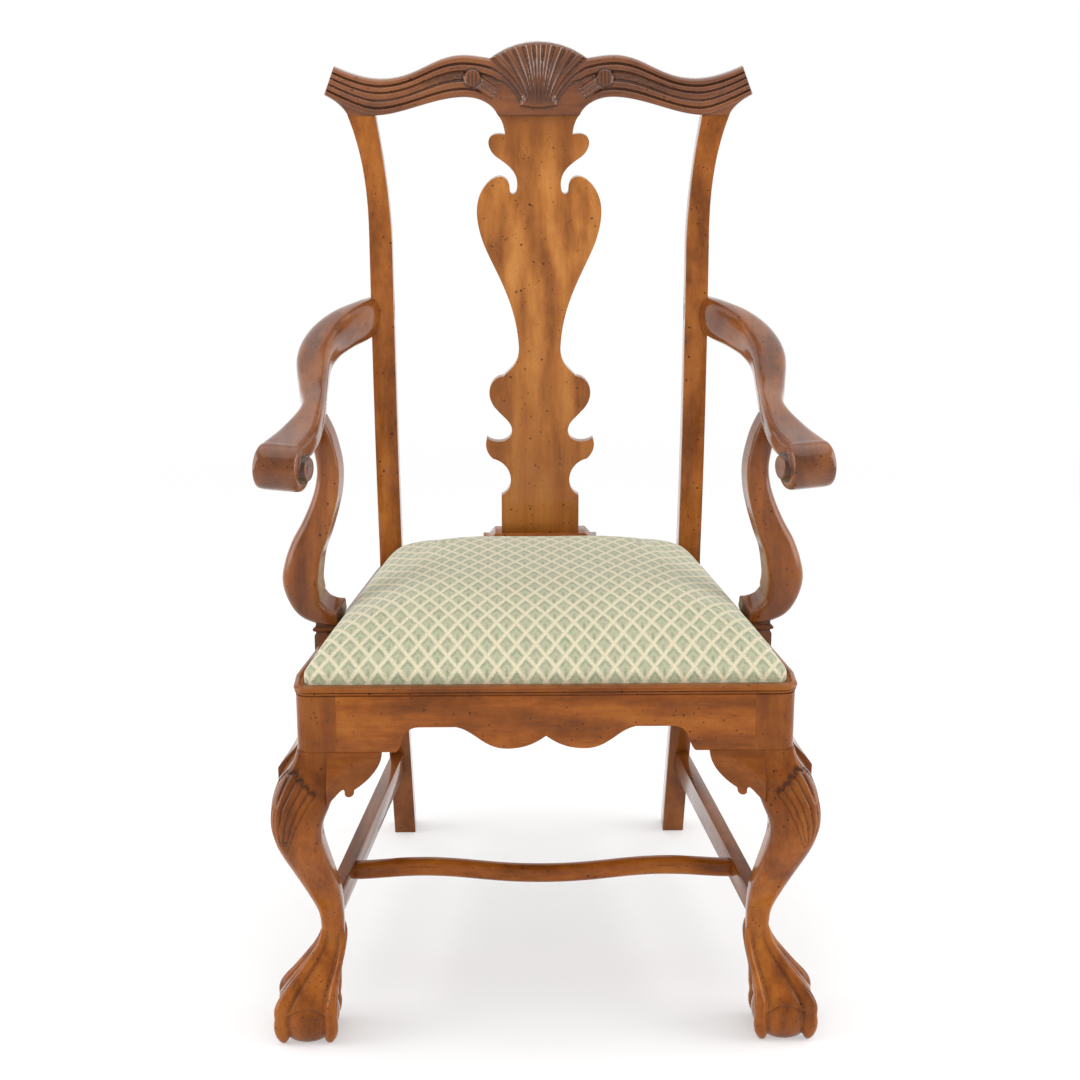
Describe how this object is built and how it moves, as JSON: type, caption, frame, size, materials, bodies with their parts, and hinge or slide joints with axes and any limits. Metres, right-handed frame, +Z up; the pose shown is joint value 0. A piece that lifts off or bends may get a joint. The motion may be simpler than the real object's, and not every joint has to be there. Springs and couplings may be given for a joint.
{
  "type": "armchair",
  "caption": "Carved wooden armchair with a pierced-edge vase splat, scrolled arms, cabriole legs on claw-and-ball feet and a drop-in upholstered seat.",
  "frame": {"origin": "on the floor under the middle of the chair's bounding box", "axes": "+Z up, the chair faces -Y, +X to the right of someone who looks at its front"},
  "size_m": [0.6366, 0.5908, 1.06],
  "materials": {
    "frame_wood": "satin brown lacquer over a streaked stain",
    "carved_wood": "satin red-brown lacquer, darker in the hollows",
    "inner_wood": "plain unfinished hardwood",
    "screw_steel": "plain steel",
    "seat_fabric": "woven sage green with a cream lattice",
    "seat_foam": "cut foam",
    "webbing_cloth": "woven jute",
    "dust_cloth": "black lining cloth"
  },
  "bodies": {
    "chair_frame": {"arm_dowels": "inner_wood", "arm_left": "carved_wood", "arm_right": "carved_wood", "arm_screw_plugs": "frame_wood", "arm_screws": "screw_steel", "arm_support_left": "carved_wood", "arm_support_right": "carved_wood", "arm_support_screws": "screw_steel", "corner_block_front_left": "inner_wood", "corner_block_front_right": "inner_wood", "corner_block_rear_left": "inner_wood", "corner_block_rear_right": "inner_wood", "corner_block_screws": "screw_steel", "crest_rail": "carved_wood", "front_leg_left": "frame_wood", "front_leg_right": "frame_wood", "front_rail": "frame_wood", "knee_bracket_front_left": "frame_wood", "knee_bracket_front_right": "frame_wood", "knee_bracket_side_left": "frame_wood", "knee_bracket_side_right": "frame_wood", "medial_stretcher": "frame_wood", "rear_post_left": "frame_wood", "rear_post_right": "frame_wood", "rear_rail": "frame_wood", "rear_seat_cleat": "inner_wood", "side_rail_left": "frame_wood", "side_rail_right": "frame_wood", "side_stretcher_left": "frame_wood", "side_stretcher_right": "frame_wood", "splat": "frame_wood", "splat_shoe": "frame_wood"},
    "slip_seat": {"seat_cover": "seat_fabric", "seat_dust_cover": "dust_cloth", "seat_front_bar": "inner_wood", "seat_pad": "seat_foam", "seat_rear_bar": "inner_wood", "seat_side_bar_left": "inner_wood", "seat_side_bar_right": "inner_wood", "seat_tacks": "screw_steel", "seat_webbing": "webbing_cloth"}
  },
  "joints": [
    {"name": "slip_seat_lift", "type": "slide", "parent": "chair_frame", "child": "slip_seat", "axis": [0, 0, 1], "range_m": [0, 0.12]}
  ]
}
